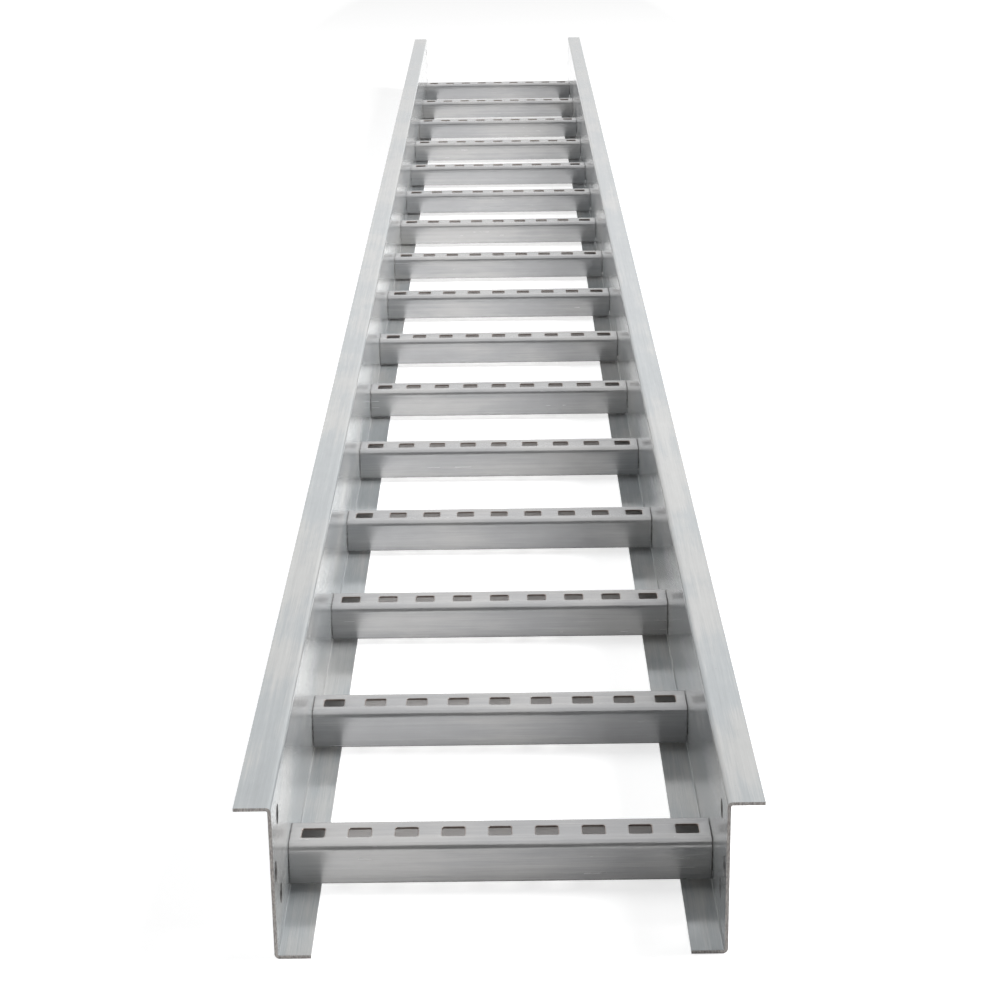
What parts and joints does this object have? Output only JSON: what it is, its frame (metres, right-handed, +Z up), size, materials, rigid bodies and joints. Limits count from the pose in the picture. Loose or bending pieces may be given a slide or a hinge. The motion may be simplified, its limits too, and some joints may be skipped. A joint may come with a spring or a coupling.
{
  "type": "cable ladder section",
  "caption": "Straight cable ladder section: two side rails with outward top and inward bottom flanges, joined by slotted channel rungs, with splice holes at the rail ends.",
  "frame": {"origin": "on the floor plane, in the middle of the ladder's width and length", "axes": "+X across the ladder, +Y along it, +Z up, with the cable side up"},
  "size_m": [0.3556, 3.6576, 0.1143],
  "materials": {
    "rail": "mill finish, satin",
    "rung": "mill finish, satin"
  },
  "bodies": {
    "root": {"left_rail": "rail", "right_rail": "rail", "rung_01": "rung", "rung_02": "rung", "rung_03": "rung", "rung_04": "rung", "rung_05": "rung", "rung_06": "rung", "rung_07": "rung", "rung_08": "rung", "rung_09": "rung", "rung_10": "rung", "rung_11": "rung", "rung_12": "rung", "rung_13": "rung", "rung_14": "rung", "rung_15": "rung", "rung_16": "rung"}
  },
  "joints": []
}
